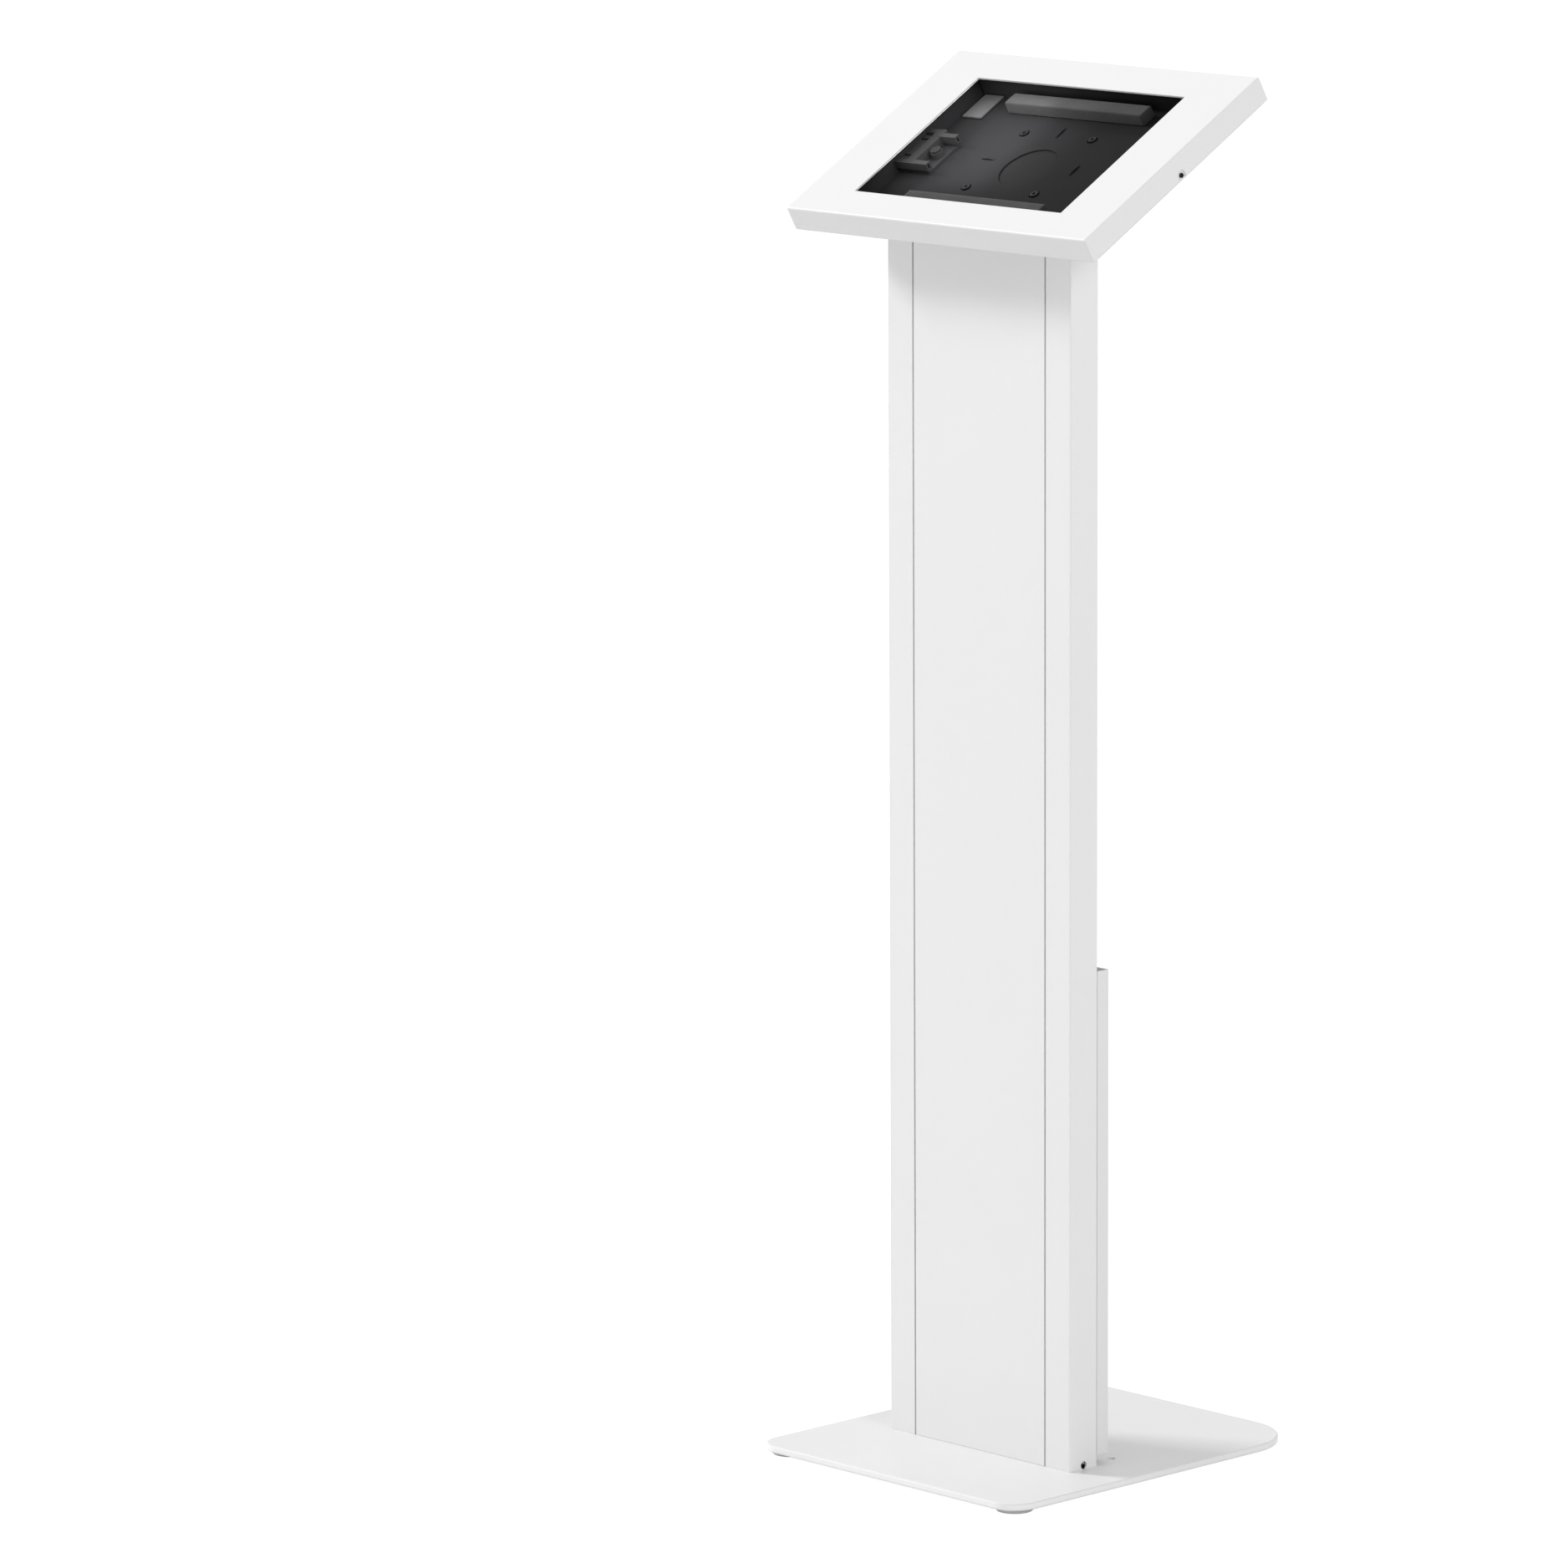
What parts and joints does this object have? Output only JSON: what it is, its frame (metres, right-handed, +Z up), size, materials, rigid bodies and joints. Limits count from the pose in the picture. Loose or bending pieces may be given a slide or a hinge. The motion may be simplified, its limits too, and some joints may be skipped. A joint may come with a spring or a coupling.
{
  "type": "tablet floor stand",
  "caption": "Floor stand for a tablet: flat base plate, slim sheet-metal column with front seams, low rear lead cover and a tilted lockable frame.",
  "frame": {"origin": "on the floor under the middle of the base plate", "axes": "+X to the user's right, +Y away from the user, +Z up; the screen faces -Y and up"},
  "size_m": [0.3308, 0.333, 1.1087],
  "materials": {
    "white_powder_coat": "satin",
    "black_powder_coat": "satin",
    "zinc_steel": "satin",
    "black_steel": "satin",
    "black_rubber": "matte",
    "foam": "matte",
    "pad_foam": "matte",
    "black_nylon": "matte",
    "natural_nylon": "matte"
  },
  "bodies": {
    "stand": {"base_plate": "white_powder_coat", "feet": "natural_nylon", "foot_screws": "zinc_steel", "foot_bar": "zinc_steel", "bar_bolts": "zinc_steel", "side_lock_screws": "black_steel", "column_back": "white_powder_coat", "column_sides": "white_powder_coat", "column_flanges": "white_powder_coat", "cross_rails": "white_powder_coat", "stud_sockets": "natural_nylon", "column_grommet": "black_rubber", "head_bracket": "white_powder_coat", "bracket_bolts": "zinc_steel", "bracket_nuts": "zinc_steel", "rear_tray": "white_powder_coat", "cradle": "black_powder_coat", "cradle_rivets": "black_powder_coat", "vesa_screws": "black_steel", "head_grommet": "black_rubber", "foam_strip_rear": "foam", "foam_strip_front": "foam", "corner_pads": "pad_foam", "plug_bracket": "black_nylon", "plug_bracket_screw": "black_steel", "lock_nuts": "zinc_steel"},
    "cover": {"front_cover": "white_powder_coat"},
    "left_lock": {"lock_screw_left": "black_steel"},
    "right_lock": {"lock_screw_right": "black_steel"},
    "column_front": {"front_panel": "white_powder_coat", "panel_studs": "zinc_steel"},
    "lead_cover": {"rear_cover": "white_powder_coat", "rear_cover_hooks": "white_powder_coat"}
  },
  "joints": [
    {"name": "cover_lift", "type": "slide", "parent": "stand", "child": "cover", "axis": [0, -0.5, 0.866], "range_m": [0, 0.12]},
    {"name": "left_lock_turn", "type": "hinge", "parent": "stand", "child": "left_lock", "pos_m": [-0.165, -0.00205, 1.03927], "axis": [-1, 0, 0], "continuous": true},
    {"name": "right_lock_turn", "type": "hinge", "parent": "stand", "child": "right_lock", "pos_m": [0.165, -0.00205, 1.03927], "axis": [1, 0, 0], "continuous": true},
    {"name": "front_panel_pull", "type": "slide", "parent": "stand", "child": "column_front", "axis": [0, -1, 0], "range_m": [0, 0.012]},
    {"name": "lead_cover_lift", "type": "slide", "parent": "stand", "child": "lead_cover", "axis": [0, 0, 1], "range_m": [0, 0.012]}
  ]
}
